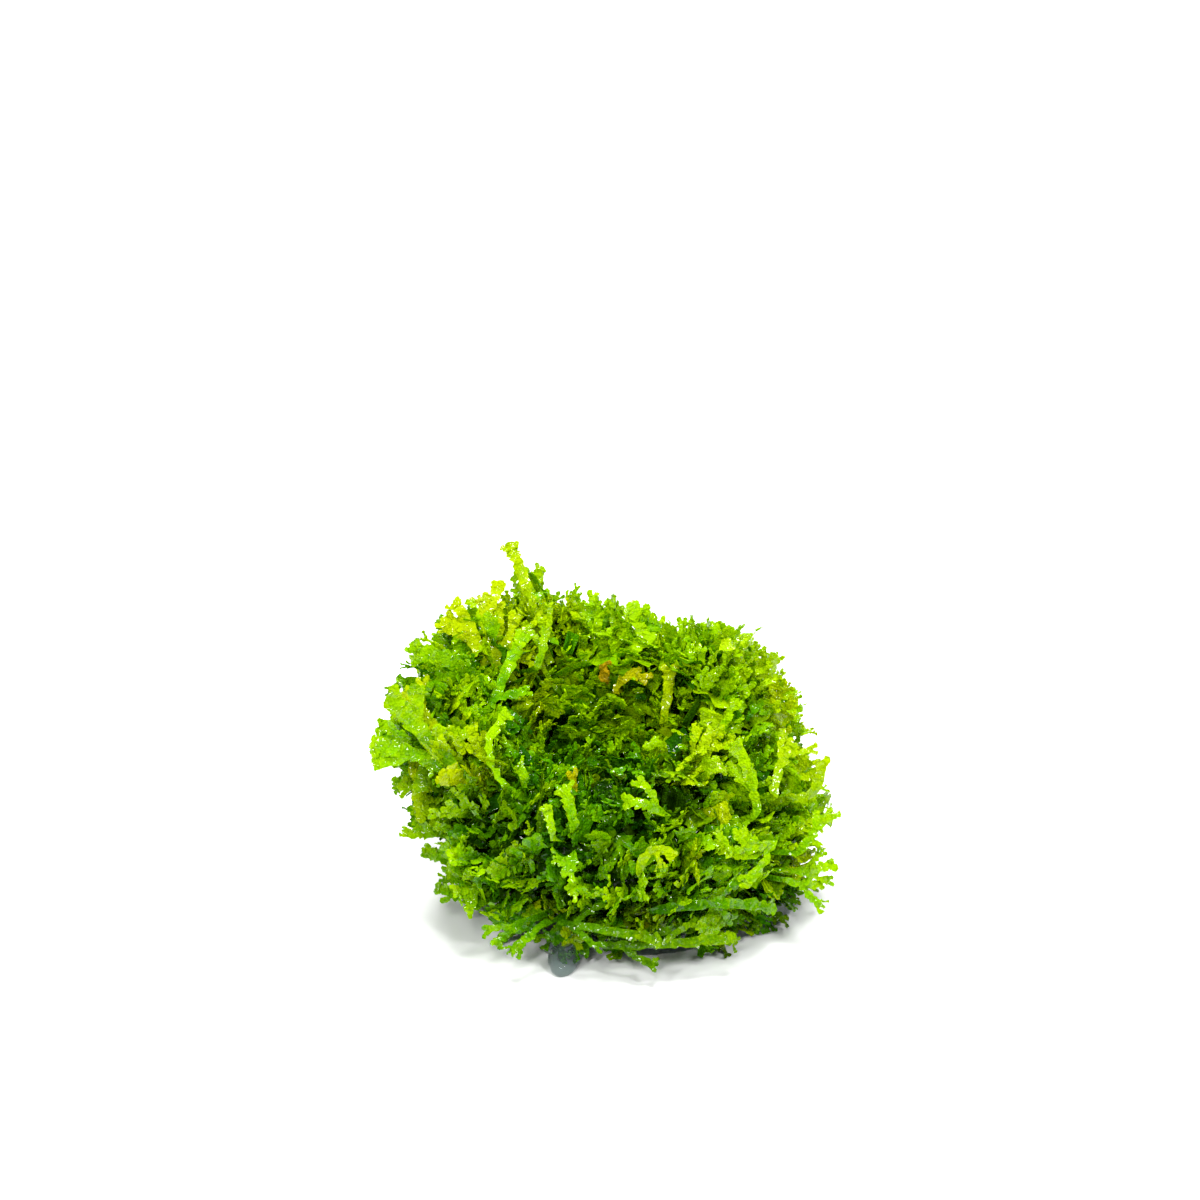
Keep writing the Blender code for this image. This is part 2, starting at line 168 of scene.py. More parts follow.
# Fronds that stand out in the photograph: the piece each is on, three points along it, its width, how deeply it is
# lobed, its branches, how old its tip looks, and how yellow (2 is ochre).
NOTABLE = (
    ("front_left_tuft", ((-15.8, -10.2, 17.4), (-17.4, -7.5, 20.6), (-14.8, -5.5, 23.6)), 0.80, 0.9, 0, -0.05, 0.0),
    ("front_left_tuft", ((-9.2, -12.6, 14.1), (-9.5, -11.6, 16.1), (-10.2, -10.0, 18.1)), 1.15, 0.5, 0, 0.00, 0.0),
    ("left_tuft", ((-18.7, 2.0, 22.6), (-22.1, 2.5, 25.3), (-25.8, 3.5, 25.9)), 1.7, 0.30, 1, 0.16, 0.1),
    ("back_left_crest", ((-18.2, 5.5, 22.7), (-20.6, 8.0, 25.4), (-23.2, 9.5, 26.3)), 1.10, 0.4, 1, -0.06, 0.60),
    ("back_left_crest", ((-18.0, 5.8, 22.7), (-19.6, 8.6, 26.0), (-21.4, 11.0, 28.0)), 1.15, 0.4, 1, -0.04, 0.55),
    ("back_left_crest", ((-17.8, 6.0, 22.4), (-18.2, 8.8, 25.5), (-19.2, 11.0, 28.4)), 1.20, 0.4, 1, -0.04, 0.60),
    ("back_left_crest", ((-17.0, 6.2, 22.6), (-16.8, 9.0, 25.2), (-17.0, 11.4, 27.6)), 1.10, 0.4, 1, -0.02, 0.55),
    ("back_left_crest", ((-16.2, 6.2, 22.2), (-15.4, 8.6, 24.6), (-15.0, 10.6, 26.8)), 1.00, 0.4, 1, -0.02, 0.40),
    ("back_left_crest", ((-12.8, 9.0, 24.1), (-14.2, 13.4, 27.6), (-16.3, 17.8, 30.9)), 1.20, 0.4, 0, 0.00, 0.45),
    ("back_left_crest", ((-17.8, -1.8, 20.3), (-16.1, 2.5, 22.3), (-12.9, 7.0, 25.7)), 1.15, 0.4, 1, 0.10, 0.0),
    ("back_left_crest", ((-13.0, 5.0, 22.4), (-12.2, 7.5, 24.4), (-12.4, 10.0, 26.6)), 0.90, 0.6, 2, 0.08, 0.2),
    ("back_crest", ((-6.4, 5.8, 20.6), (-6.5, 6.1, 21.7), (-5.6, 6.2, 22.0)), 1.00, 0.3, 0, 0.12, 1.75),
    ("back_crest", ((-5.2, 5.9, 19.4), (-4.2, 6.6, 20.6), (-2.2, 6.6, 21.0)), 0.90, 0.6, 1, 0.20, 1.15),
    ("back_crest", ((-5.0, 9.0, 21.2), (-5.4, 10.6, 23.0), (-5.2, 12.4, 25.2)), 0.95, 0.5, 1, 0.08, 0.1),
    ("back_right_crest", ((-0.7, 2.0, 17.8), (-0.1, 4.4, 20.4), (0.1, 6.5, 22.9)), 1.1, 0.3, 0, 0.10, 0.6),
    ("right_tuft", ((8.1, -8.6, 13.3), (7.5, -6.4, 16.8), (5.7, -4.6, 20.1)), 1.15, 0.6, 1, -0.04, 0.1),
    ("right_tuft", ((9.8, -8.0, 15.1), (10.5, -5.0, 16.9), (12.1, -3.0, 19.3)), 0.95, 0.7, 2, 0.12, 0.4),
    ("right_tuft", ((11.4, -6.4, 14.1), (13.9, -5.2, 14.3), (14.7, -4.0, 18.0)), 1.10, 0.25, 0, 0.02, 0.4),
    ("front_tuft", ((10.0, -12.0, 12.7), (6.7, -14.2, 12.0), (3.3, -14.4, 13.2)), 1.0, 0.7, 2, 0.00, 0.1),
    ("front_tuft", ((9.2, -12.6, 12.2), (7.4, -13.6, 13.6), (6.1, -13.0, 15.0)), 1.2, 0.6, 1, 0.02, 0.1),
    ("front_tuft", ((-0.4, -12.4, 15.3), (-2.9, -13.2, 16.8), (-5.1, -12.2, 16.3)), 1.0, 0.7, 1, 0.06, 0.1),
    ("front_left_tuft", ((-11.1, -14.4, 14.0), (-11.5, -13.6, 15.7), (-12.0, -12.4, 17.0)), 0.8, 0.5, 0, 0.06, 0.1),
    ("right_tuft", ((11.4, -9.8, 7.9), (13.9, -9.4, 8.3), (16.1, -8.4, 8.8)), 0.95, 0.8, 2, 0.10, 0.1),
    ("right_tuft", ((11.0, -10.2, 7.2), (13.1, -10.2, 6.8), (15.4, -9.6, 6.9)), 0.85, 0.8, 2, 0.14, 0.1),
    ("left_tuft", ((-19.9, -7.6, 16.8), (-23.8, -4.4, 19.5), (-28.3, -1.6, 22.2)), 1.7, 0.35, 1, 0.12, 0.2),
    ("left_tuft", ((-21.4, -7.0, 17.4), (-25.2, -4.6, 18.5), (-28.9, -2.6, 19.1)), 1.7, 0.35, 1, 0.12, 0.1),
    ("left_tuft", ((-21.2, -4.4, 18.7), (-24.2, -1.5, 20.8), (-26.8, 1.0, 22.0)), 1.2, 0.4, 1, 0.05, 0.6),
    ("left_tuft", ((-18.6, -4.0, 8.4), (-22.4, -4.0, 9.2), (-25.4, -3.8, 10.6)), 1.0, 0.6, 2, 0.16, 0.1),
    ("left_tuft", ((-18.2, -5.4, 6.0), (-22.0, -5.2, 6.6), (-24.8, -4.8, 7.6)), 1.0, 0.6, 2, 0.20, 0.1),
    ("front_left_tuft", ((-17.6, -7.0, 4.2), (-20.6, -7.2, 4.4), (-23.4, -6.4, 4.6)), 0.9, 0.6, 2, 0.24, 0.1),
    ("foot_fringe", ((-12.0, -13.0, 5.0), (-15.1, -15.2, 5.1), (-17.5, -16.6, 3.4)), 0.8, 0.4, 1, 0.30, 0.1),
    ("foot_fringe", ((-11.0, -13.6, 4.8), (-13.0, -15.8, 4.8), (-14.9, -17.4, 2.5)), 0.8, 0.4, 1, 0.34, 0.1),
    ("foot_fringe", ((-6.8, -16.4, 3.8), (-1.2, -16.6, 3.9), (6.3, -14.0, 3.3)), 0.95, 0.45, 2, 0.32, 0.3),
    ("foot_fringe", ((-3.0, -15.8, 4.6), (1.7, -15.4, 4.8), (7.3, -12.6, 3.6)), 0.95, 0.45, 2, 0.36, 0.3),
    ("foot_fringe", ((-10.6, -15.6, 5.7), (-5.7, -16.6, 5.0), (-0.4, -16.4, 3.4)), 0.95, 0.45, 2, 0.36, 0.2),
    ("front_tuft", ((-2.1, -16.2, 7.2), (3.5, -15.4, 8.0), (9.4, -11.6, 6.7)), 1.05, 0.45, 2, 0.30, 0.1),
    ("front_left_tuft", ((-9.1, -9.2, 16.6), (-9.2, -9.2, 17.6), (-9.4, -9.0, 18.7)), 0.7, 0.0, 0, 0.10, 1.2),
    ("front_tuft", ((-3.1, -17.6, 12.0), (-1.8, -16.8, 13.9), (0.4, -17.0, 12.5)), 0.9, 0.7, 1, 0.04, 0.4),
    ("right_tuft", ((11.9, -9.4, 9.8), (13.4, -8.8, 11.4), (14.2, -7.4, 13.7)), 0.95, 0.7, 1, 0.06, 0.1),
)


# One frond's plan: flat ribbons laid out along and across, each a run of three-cornered rings.

def margin(rng, t, width, depth, pitch):
    """Half-widths down one margin: blunt lobes with notches between, edged with small teeth."""
    starts = rng.uniform(0, 2 * math.pi, 3)
    uneven = t / pitch + 0.30 * np.sin(1.9 * t / pitch + starts[0])
    wave = 0.5 + 0.5 * np.sin(2 * math.pi * uneven + starts[1])
    size = depth * (0.75 + 0.45 * np.sin(1.3 * t / pitch + starts[2]))
    return 0.5 * width * (1.0 + size * (0.45 - (1.0 - wave) ** 1.6)) + rng.normal(0, TEETH, t.size)


def stations(length, steps):
    """Places for a ribbon's rings: wide apart along its inner part, close together over the last stretch."""
    inner = steps[0] * np.arange(max(0, int((length - SHOWN_LENGTH) / steps[0])))
    start = steps[0] * len(inner)
    count = max(2, int(round((length - start) / steps[1])))
    return np.concatenate((inner, np.linspace(start, length, count + 1)))


def ribbon(
    rng, start, heading, length, width, curl=0.0, bend=0.0, steps=FROND_STEPS, lift=0.0, ruffle=0.0, depth=0.3,
    flare=(1.0, 0.0),
):
    """Rings of one ribbon: margin, middle, other margin. Gives them, and a function for a place along it."""
    body = stations(max(length - 0.4 * width, 0.3 * length), steps)
    t = np.concatenate((body, [length - 0.12 * width, length]))
    turn = heading + bend * t
    middle_turn = heading + bend * (t[1:] + t[:-1]) / 2
    gap = np.diff(t)
    along = start[0] + np.concatenate(([0.0], np.cumsum(np.cos(middle_turn) * gap)))
    across = start[1] + np.concatenate(([0.0], np.cumsum(np.sin(middle_turn) * gap)))
    rise = lift + curl * t * t
    count = t.size
    blunt = (flare[0] + flare[1] * t / length) * np.concatenate((np.ones(len(body) - 1), [1.05, 0.76, 0.36]))
    pitch = rng.uniform(*LOBE_PITCH) * (0.6 + 0.4 * width / FROND_WIDTH)
    ridge = rng.choice((-1, 1))
    thick = ridge * FROND_HALF_THICKNESS * rng.uniform(0.6, 1.4, count)
    thick[-2:] *= (0.8, 0.45)
    rings = np.empty((count, 3, 3))
    rings[:, 1] = np.stack((along, across, rise + thick), 1)
    for corner, side in ((0, ridge), (2, -ridge)):
        half = np.maximum(margin(rng, t, width, depth, pitch), 0.1 * width) * blunt
        forward = LOBE_SWEEP * (half - 0.5 * width)
        wave = ruffle * np.sin(t * 2.4 + rng.uniform(0, 6.28)) + rng.normal(0, CRINKLE, count)
        rings[:, corner] = np.stack((
            along - side * np.sin(turn) * half + np.cos(turn) * forward,
            across + side * np.cos(turn) * half + np.sin(turn) * forward,
            rise + wave,
        ), 1)

    def spot(share):
        at = share * length
        return np.interp(at, t, along), np.interp(at, t, across), np.interp(at, t, rise), heading + bend * at

    return rings, spot


def fork(rng, rings, spot, width, size):
    """A frond's end splits in short blunt lobes, side by side like fingers."""
    s, x, z, way = spot(0.92)
    count = rng.choice((2, 2, 3)) if width < 1.15 else rng.choice((3, 4))
    spread = rng.uniform(*FORK_SPREAD) * (1.0 if count < 4 else 1.2)
    for side in np.linspace(-1, 1, count):
        aside = side * width * (0.5 - 0.55 / count)
        small, _ = ribbon(
            rng, (s - math.sin(way) * aside, x + math.cos(way) * aside), way + side * spread * rng.uniform(0.7, 1.3),
            rng.uniform(0.7, 1.3) * size, width * (1.05 / count + 0.16) * rng.uniform(0.85, 1.15),
            curl=rng.normal(0, 0.10), lift=z, depth=0.15,
        )
        rings.append(small)


def frond_plan(rng, length, free, width, branches, curl=0.0, depth=0.5, wander=1.0):
    """The whole frond: a stem, its free part, and branches on alternate sides of that."""
    rings = []
    bend = rng.normal(0, 0.03) * wander
    ends = 0.4 * width + 0.40
    stem, stem_spot = ribbon(
        rng, (0.0, 0.0), 0.0, length - free, width * 0.6, bend=bend, steps=STEM_STEPS, depth=0.0
    )
    rings.append(stem)
    s, x, z, way = stem_spot(0.97)
    main, spot = ribbon(
        rng, (s, x), way, free - ends, width, curl=curl * 0.4, bend=bend + rng.normal(0, 0.05) * wander, lift=z,
        ruffle=rng.uniform(*RUFFLE) * width, depth=depth, flare=FLARE,
    )
    rings.append(main)
    fork(rng, rings, spot, width, ends)
    side = rng.choice((-1, 1))
    for at in np.sort(rng.uniform(0.10, 0.80, branches)):
        s, x, z, way = spot(at)
        reach = min((0.30 + 0.45 * (1.0 - at)) * free * rng.uniform(0.6, 1.0), 3.6)
        branch_width = width * rng.uniform(0.65, 0.90)
        branch, branch_spot = ribbon(
            rng, (s, x), way + side * rng.uniform(*BRANCH_SPREAD), reach, branch_width,
            curl=rng.normal(0, 0.06) + curl * 0.3, bend=-side * rng.uniform(0.0, 0.16), steps=BRANCH_STEPS,
            lift=z, ruffle=rng.uniform(*RUFFLE) * branch_width, depth=depth, flare=FLARE,
        )
        rings.append(branch)
        fork(rng, rings, branch_spot, branch_width, 0.8)
        side = -side
    return rings


class Growth:
    """Collects the fronds of one piece, and makes its mesh."""

    def __init__(self, name):
        self.name = name
        self.points = []
        self.faces = []
        self.age_and_shade = []
        self.tone = []
        self.rim = []
        self.count = 0

    def add(self, rings, place, age_and_shade, tone):
        """Lays a frond's ribbons in place and closes them into skins, each point with its age and painted shade, its
        tone and its rim.
        """
        for ring in rings:
            points, share = place(ring.reshape(-1, 3))
            # Near the floor, heights are squeezed into what is left over it.
            low = np.minimum(points[:, 2], FLOOR_CLEAR)
            points[:, 2] += FLOOR_CLEAR * (0.3 + 0.7 * np.exp((low - FLOOR_CLEAR) / (0.7 * FLOOR_CLEAR))) - low
            start = self.count + 3 * np.arange(len(ring) - 1)[:, None]
            for a, b in ((0, 1), (1, 2), (2, 0)):
                self.faces.append(np.concatenate((start + a, start + b, start + 3 + b), 1))
                self.faces.append(np.concatenate((start + a, start + 3 + b, start + 3 + a), 1))
            first, last = self.count, self.count + 3 * (len(ring) - 1)
            self.faces.append(np.array(((first + 2, first + 1, first), (last, last + 1, last + 2))))
            self.rim.append(np.tile((1.0, 0.0, 1.0), len(ring)))
            self.points.append(points)
            self.age_and_shade.append(age_and_shade(points, share))
            self.tone.append(np.full(len(points), tone))
            self.count += len(points)

    def make(self, material):
        """The piece, in metres. Folds sharper than 70 degrees stay sharp."""
        mesh = bpy.data.meshes.new(self.name)
        points = np.concatenate(self.points) * MM
        faces = np.concatenate(self.faces)
        mesh.from_pydata(points, [], faces)
        for name, values in (("age_and_shade", self.age_and_shade), ("tone", self.tone), ("rim", self.rim)):
            layer = mesh.attributes.new(name, "FLOAT", "POINT")
            layer.data.foreach_set("value", np.concatenate(values).astype(np.float32))
        mesh.shade_smooth()
        mesh.set_sharp_from_angle(angle=math.radians(70))
        mesh.materials.append(material)
        item = bpy.data.objects.new(self.name, mesh)
        bpy.context.scene.collection.objects.link(item)
        return item


def lay(curve, face, twist=0.0):
    """A function that lays a frond's plan along a curve, with the frond's broad side turned to face at its middle,
    and twisted along it."""
    slope = unit(np.gradient(curve, axis=0))
    run = np.concatenate(([0.0], np.cumsum(np.linalg.norm(np.diff(curve, axis=0), axis=1))))
    wide = unit(np.cross(face, slope))
    turn = (twist * (run / run[-1] - 0.6))[:, None]
    wide = wide * np.cos(turn) + np.cross(slope, wide) * np.sin(turn)
    table = np.concatenate((curve, slope, wide, np.cross(slope, wide)), 1)
    total = run[-1]

    def place(plan):
        s = plan[:, 0]
        inside = np.clip(s, 0.0, total)
        row = np.stack([np.interp(inside, run, column) for column in table.T], 1)
        past = (s - inside)[:, None]
        points = row[:, 0:3] + past * row[:, 3:6] + plan[:, 1:2] * row[:, 6:9] + plan[:, 2:3] * row[:, 9:12]
        return points, s / total

    return place, total


def spine(start, leave, end, arrive, face, twist=0.0):
    """A way for a frond from start to end, leaving and arriving in given directions."""
    length = np.linalg.norm(end - start)
    u = np.linspace(0, 1, 17)[:, None]
    a, b = start + leave * length * 0.36, end - arrive * length * 0.36
    curve = (1 - u) ** 3 * start + 3 * (1 - u) ** 2 * u * a + 3 * (1 - u) * u * u * b + u ** 3 * end
    return lay(curve, face, twist)


# Where the frond tips come to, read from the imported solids.

def solid(node):
    """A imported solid's points, in millimetres, and the corners of its triangles."""
    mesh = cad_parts[node].data
    points = np.empty(len(mesh.vertices) * 3)
    mesh.vertices.foreach_get("co", points)
    mesh.calc_loop_triangles()
    corners = np.empty(len(mesh.loop_triangles) * 3, dtype=np.int64)
    mesh.loop_triangles.foreach_get("vertices", corners)
    return points.reshape(-1, 3) / MM, corners.reshape(-1, 3)


def reach_of(points):
    """Distance from the root to a tuft's frond tips, as a function of the direction."""
    ways = unit(points - ROOT)
    far = np.linalg.norm(points - ROOT, axis=1)

    def reach(direction):
        weight = np.exp((np.atleast_2d(direction) @ ways.T - 1.0) * TUFT_FOCUS)
        return ((weight @ far ** TUFT_POWER) / weight.sum(1)) ** (1 / TUFT_POWER)

    return reach


def spread_over(rng, points, corners, area, count):
    """Random points over the triangles of a solid, with the index of the triangle that each is on."""
    pick = rng.choice(len(area), count, p=area / area.sum())
    u, v = rng.random((2, count, 1))
    fold = u + v > 1
    u, v = np.where(fold, 1 - u, u), np.where(fold, 1 - v, v)
    a, b, c = (points[corners[pick, i]] for i in range(3))
    return a + u * (b - a) + v * (c - a), pick


def thinned(rng, places, spacing):
    """Places picked in random order, no two closer than the spacing. A place's first value is its point."""
    points = np.array([place[0] for place in places])
    kept = np.empty((len(points), 3))
    chosen = []
    for i in rng.permutation(len(points)):
        near = kept[:len(chosen)] - points[i]
        if not len(chosen) or np.einsum("ij,ij->i", near, near).min() > spacing ** 2:
            kept[len(chosen)] = points[i]
            chosen.append(places[i])
    return chosen


def across_heart(points):
    """Each point's way in towards the line up through the open heart, and how far it is from that line."""
    out = points - ROOT
    out = out - (out @ HEART_WAY)[:, None] * HEART_WAY
    return -unit(out), np.linalg.norm(out, axis=1)


def find_places(rng, nodes):
    """Where frond tips come, over all the tufts: on the outer side at the tips of the solid's lobes, under those,
    and down the slopes of the open heart on the solid's own side."""
    outer, slope, behind = [], [], []
    for index, node in enumerate(nodes):
        points, corners = solid(node)
        reach = reach_of(points)
        a, b, c = (points[corners[:, i]] for i in range(3))
        normal = np.cross(b - a, c - a)
        area = np.linalg.norm(normal, axis=1)
        normal = normal / area[:, None]
        found, pick = spread_over(rng, points, corners, area, TRIED)
        way = unit(found - ROOT)
        far = reach(way)
        deep = far - np.linalg.norm(found - ROOT, axis=1)
        for i in np.flatnonzero(deep < (TRIED_DEPTH if node != "heart_growth" else TRIED_DEPTH_HEART)):
            outer.append((ROOT + way[i] * far[i], way[i], index, far[i]))
        inward, off = across_heart(found)
        high = (found - ROOT) @ HEART_WAY
        facing = np.einsum("ij,ij->i", normal[pick], inward)
        hollow = (facing > 0.15) & (high > HOLLOW_FLOOR) & (off < HOLLOW_SLOPE * high) & (node != "heart_growth")
        # Only where the tuft is thick enough behind the place to hide where the frond starts.
        for back, inside, places in ((2.2, 1.0, slope), (3.2, 2.2, behind)):
            rear = found - inward * back - ROOT
            covered = reach(unit(rear)) - np.linalg.norm(rear, axis=1)
            for i in np.flatnonzero(hollow & (covered > inside)):
                places.append((found[i], inward[i], index, high[i]))
    under = thinned(rng, outer, UNDER_SPACING)
    outer = thinned(rng, outer, TIP_SPACING)
    behind = thinned(rng, behind, BEHIND_SPACING)
    slope = thinned(rng, slope, SLOPE_SPACING)
    return outer, under, slope, behind


def looks(rng, habit, tip):
    """How old and how yellow a frond looks, with the painted light and shade of its place: its tuft's habit, its
    neighbourhood, and itself.
    """
    patch = AGE_FIELD(tip)[0]
    shift = habit["age_and_shade"] + 0.09 * patch[0] + rng.normal(0, 0.12)
    tone = habit["yellow"] + 0.18 * patch[1] + rng.normal(0, 0.09)
    # Painted light and shade, place by place: darker where shade falls, lighter where the light does.
    for place, size, painted_shade, yellower in PAINTED_LIGHT_AND_SHADE:
        near = math.exp(-(np.linalg.norm(tip - np.array(place)) / size) ** 2)
        shift += painted_shade * near
        tone += yellower * near
    return shift, tone


def grow_tuft_frond(rng, growth, habit, way, far):
    """One frond of a tuft's outer side, from inside the clump to its tip."""
    tip = ROOT + way * far * rng.uniform(*habit.get("tips", USUAL_TIPS))
    base = ROOT + way * max(far - rng.uniform(6.5, 8.5), 0.4 * far) + rng.normal(0, 0.8, 3)
    base[2] = max(base[2], LOWEST_START)
    up = unit(UP - way * way[2])
    drift = LEAN_FIELD(tip)[0] + rng.normal(0, 0.42, 3)
    upward = 1.0 if way[2] > 0.22 else -0.5
    aside = unit(drift - way * (drift @ way) + up * habit["rise"] * upward)
    lean = rng.uniform(*habit["lean"])
    arrive = way * math.cos(lean) + aside * math.sin(lean)
    face = unit(-aside * 0.4 + way * 0.9 + rng.normal(0, 0.35, 3))
    place, total = spine(
        base, unit(way + rng.normal(0, 0.12, 3)), tip, arrive, face, twist=rng.normal(0, TWIST)
    )
    broad = rng.random() < BROAD_SHARE
    width = rng.uniform(*BROAD_WIDTH) if broad else FROND_WIDTH * rng.uniform(0.70, 1.25)
    plan = frond_plan(
        rng, total, min(rng.uniform(4.0, 6.0), total - 0.5), width, rng.integers(0, 2 if broad else 4),
        curl=rng.normal(0.0, 0.05), depth=rng.uniform(0.25, 0.5) if broad else rng.uniform(0.35, 1.0),
    )
    shift, tone = looks(rng, habit, tip)

    def age_and_shade(points, share):
        deep = far - np.linalg.norm(points - ROOT, axis=1)
        return np.clip(0.10 + deep * AGE_AND_SHADE_BY_DEPTH + shift, 0.0, 1.0)

    growth.add(plan, place, age_and_shade, tone)


def grow_under_frond(rng, growth, habit, way, far):
    """One short older frond under the outer ones, across the gaps between them."""
    deep = rng.uniform(*UNDER_DEPTH)
    tip = ROOT + way * (far - deep) + rng.normal(0, 0.4, 3)
    aside = unit(np.cross(way, rng.normal(0, 1.0, 3)))
    arrive = unit(way * rng.uniform(0.0, 1.0) + aside)
    base = tip - way * rng.uniform(1.6, 2.6) - aside * rng.uniform(0.8, 2.0)
    face = unit(way + rng.normal(0, 0.35, 3))
    place, total = spine(base, unit(way + aside * 0.3), tip, arrive, face, twist=rng.normal(0, TWIST))
    plan = frond_plan(
        rng, total, total * 0.85, FROND_WIDTH * rng.uniform(0.75, 1.15), rng.integers(0, 2),
        curl=rng.normal(0.0, 0.05), depth=rng.uniform(0.4, 1.0),
    )
    shift, tone = looks(rng, habit, tip)
    start = 0.16 + deep * AGE_AND_SHADE_BY_DEPTH + shift

    def age_and_shade(points, share):
        return np.clip(start + (1.0 - share) * 0.3, 0.0, 1.0)

    growth.add(plan, place, age_and_shade, tone)


def grow_slope_frond(rng, growth, habit, found, inward, high):
    """One short frond on a slope of the open heart, leaning in over it."""
    up = unit(UP + rng.normal(0, 0.25, 3))
    tip = found + inward * rng.uniform(0.2, 1.6) + up * rng.uniform(0.2, 1.2)
    base = found - inward * rng.uniform(1.0, 2.2) - up * rng.uniform(2.0, 3.4)
    arrive = unit(inward * rng.uniform(-0.1, 0.8) + up + rng.normal(0, 0.30, 3))
    face = unit(inward * 0.9 - up * 0.3 + rng.normal(0, 0.35, 3))
    place, total = spine(base, unit(up * 0.9 + inward * 0.3), tip, arrive, face, twist=rng.normal(0, TWIST))
    plan = frond_plan(
        rng, total, total * 0.80, FROND_WIDTH * rng.uniform(0.70, 1.60), rng.integers(0, 2),
        curl=rng.normal(0.0, 0.06), depth=rng.uniform(0.3, 0.8),
    )
    shift, tone = looks(rng, habit, tip)
    # Painted shade: the hollow is drawn darker further down.
    start = 0.31 - 0.032 * (high - 6.5)

    def age_and_shade(points, share):
        return np.clip(start + (1.0 - share) * 0.60 + shift, 0.0, 1.0)

    growth.add(plan, place, age_and_shade, tone - 0.06)


def grow_old_blade(rng, growth, habit, base, tip, face):
    """One old broad blade, deep between the others."""
    way = unit(tip - base)
    place, total = spine(
        base, unit(way + rng.normal(0, 0.2, 3)), tip, unit(way + rng.normal(0, 0.3, 3)),
        unit(face + rng.normal(0, 0.4, 3)), twist=rng.normal(0, 0.4),
    )
    blade, _ = ribbon(
        rng, (0.0, 0.0), 0.0, total, rng.uniform(*OLD_BLADE_WIDTH), steps=OLD_BLADE_STEPS, ruffle=0.3, depth=0.4
    )
    shift, tone = looks(rng, habit, tip)

    # Old growth, and painted shade deep between the fronds: drawn dark.
    def age_and_shade(points, share):
        return np.clip(0.50 + (1.0 - share) * 0.35 + shift, 0.0, 1.0)

    growth.add([blade], place, age_and_shade, tone + 0.1)


def grow_behind_slope(rng, growth, habit, found, inward):
    """An old blade that stands behind the fronds of the hollow's wall."""
    up = unit(UP + rng.normal(0, 0.3, 3))
    tip = found - inward * rng.uniform(1.0, 3.2) + up * rng.uniform(0.2, 1.4)
    base = tip - up * rng.uniform(3.6, 5.2) - inward * rng.uniform(-0.5, 1.5)
    grow_old_blade(rng, growth, habit, base, tip, inward)


def grow_deep_inside(rng, growth, habit, way, far):
    """An old blade that lies across the inside of a tuft, where the gaps between its fronds would show through."""
    middle = ROOT + way * (far - rng.uniform(*DEEP))
    middle[2] = max(middle[2], 6.0)
    aside = unit(np.cross(way, rng.normal(0, 1.0, 3))) * rng.uniform(1.8, 2.8)
    aside[2] = max(-1.2, min(1.2, aside[2]))
    grow_old_blade(rng, growth, habit, middle - aside, middle + aside, way)


def grow_tufts(rng):
    """All the tufts. Gives each one's growth by the name of its solid."""
    nodes = list(HABITS)
    growths = [Growth(node + "_fronds") for node in nodes]
    outer, under, slope, behind = find_places(rng, nodes)
    for found, inward, owner, high in slope:
        grow_slope_frond(rng, growths[owner], HABITS[nodes[owner]], found, inward, high)
    for found, inward, owner, high in behind:
        grow_behind_slope(rng, growths[owner], HABITS[nodes[owner]], found, inward)
    for _, way, owner, far in under:
        grow_under_frond(rng, growths[owner], HABITS[nodes[owner]], way, far)
        if far > DEEP_FROM:
            grow_deep_inside(rng, growths[owner], HABITS[nodes[owner]], way, far)
    for _, way, owner, far in outer:
        grow_tuft_frond(rng, growths[owner], HABITS[nodes[owner]], way, far)
    return dict(zip(nodes, growths))


def grow_fringe(rng):
    """The old strap fronds that lie out nearly flat from the foot, swept round it, over and under each other."""
    growth = Growth("foot_fringe_fronds")
    points, _ = solid("foot_fringe")
    turns = np.arctan2(points[:, 1], points[:, 0])
    far = np.linalg.norm(points[:, :2], axis=1)
    for i in range(STRAPS):
        turn = 2 * math.pi * (i + rng.uniform(-0.4, 0.4)) / STRAPS
        near = np.exp((np.cos(turns - turn) - 1.0) * FRINGE_FOCUS)
        reach = ((near @ far ** FRINGE_POWER) / near.sum()) ** (1 / FRINGE_POWER) * rng.uniform(0.84, 1.00)
        out = np.array((math.cos(turn), math.sin(turn), 0.0))
        sweep = 1.0 if out[0] > -0.25 else -1.0
        aside = np.array((-out[1], out[0], 0.0)) * (sweep if rng.random() < 0.75 else -sweep)
        base = out * reach * 0.45 + UP * rng.uniform(3.8, 5.4)
        height = rng.uniform(0.6, 4.6)
        tip = out * max(reach, SHORTEST_STRAP) + aside * rng.uniform(0.0, 4.5) + UP * height
        arrive = unit(out * 0.5 + aside * rng.uniform(0.0, 1.5) + UP * rng.normal(-0.25, 0.2))
        face = unit(UP + out * 0.5 + rng.normal(0, 0.3, 3))
        place, total = spine(base, unit(out + UP * 0.2), tip, arrive, face, twist=rng.normal(0, 0.5))
        plan = frond_plan(
            rng, total, total * 0.60, FROND_WIDTH * rng.uniform(0.8, 1.25), rng.integers(0, 3),
            curl=rng.normal(0, 0.04), depth=rng.uniform(0.2, 0.8),
        )
        shift = rng.normal(0.0, 0.09)

        def age_and_shade(points, share, shift=shift):
            return np.clip(0.95 - share * 0.48 + shift, 0.0, 1.0)

        growth.add(plan, place, age_and_shade, rng.normal(0.2, 0.15))
    return growth


